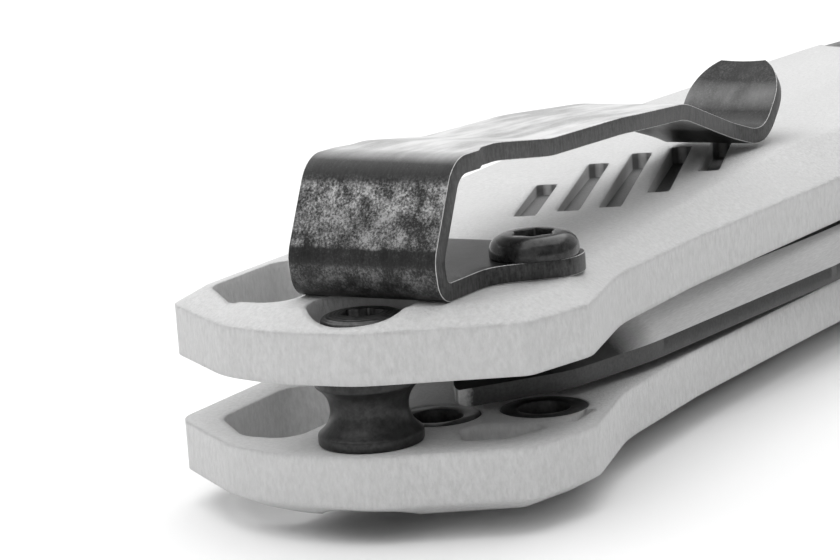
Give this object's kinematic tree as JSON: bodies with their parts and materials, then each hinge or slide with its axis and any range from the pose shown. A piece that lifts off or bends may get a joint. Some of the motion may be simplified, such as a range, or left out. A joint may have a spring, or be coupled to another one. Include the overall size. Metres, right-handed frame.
{
  "type": "folding pocket knife",
  "caption": "Folding pocket knife, closed, with two polymer scales, nested liners, cross-bar lock, open spool spacers and a bent-strip pocket clip over the butt.",
  "frame": {"origin": "centre of the overall box on the plane that the show side rests on", "axes": "+X from the butt to the pivot end, +Y towards the handle's spine, +Z from the show side up to the clip side"},
  "size_m": [0.1058, 0.0268, 0.0166],
  "materials": {
    "scale_polymer": "matte moulded glass-filled nylon with a fine vertical drag grain",
    "liner_steel": "fine ground stainless steel",
    "blade_coating": "satin black wear coating with a bare ground edge",
    "clip_steel": "worn black oxide, speckled and rubbed bright along the edges",
    "spacer_black": "satin black anodised",
    "screw_black": "semi-gloss black oxide",
    "insert_black": "black oxide bush",
    "black_hardware": "satin black",
    "bare_steel": "turned stainless steel",
    "spring_wire": "drawn spring wire",
    "washer_bronze": "flat phosphor bronze"
  },
  "bodies": {
    "handle": {"clip_inserts_clip_side": "insert_black", "clip_inserts_show_side": "insert_black", "clip_screw_button_head": "screw_black", "clip_screw_flush_head": "screw_black", "clip_side_liner": "liner_steel", "clip_side_scale": "scale_polymer", "middle_spacer": "spacer_black", "middle_spacer_screw_clip_side": "screw_black", "middle_spacer_screw_show_side": "screw_black", "omega_spring_clip_side": "spring_wire", "omega_spring_show_side": "spring_wire", "pivot_barrel": "bare_steel", "pivot_screw_clip_side": "screw_black", "pivot_screw_show_side": "screw_black", "pivot_washer_clip_side": "washer_bronze", "pivot_washer_show_side": "washer_bronze", "pocket_clip": "clip_steel", "rear_spacer": "spacer_black", "rear_spacer_screw_clip_side": "screw_black", "rear_spacer_screw_show_side": "screw_black", "show_side_liner": "liner_steel", "show_side_scale": "scale_polymer", "stop_pin": "bare_steel"},
    "blade_assembly": {"blade": "blade_coating", "thumb_stud_clip_side": "black_hardware", "thumb_stud_show_side": "black_hardware"},
    "lock_assembly": {"lock_bar": "bare_steel", "lock_button_clip_side": "black_hardware", "lock_button_show_side": "black_hardware"}
  },
  "joints": [
    {"name": "blade_pivot", "type": "hinge", "parent": "handle", "child": "blade_assembly", "pos_m": [0.04185, -0.00079, 0.0056], "axis": [0, 0, 1], "range_deg": [0, 180]},
    {"name": "lock_bar_slide", "type": "slide", "parent": "handle", "child": "lock_assembly", "axis": [-1, 0, 0], "range_m": [0, 0.003], "stiffness_N_per_m": 1500, "springref_m": -0.002, "deforming": ["omega_spring_clip_side", "omega_spring_show_side"]}
  ]
}
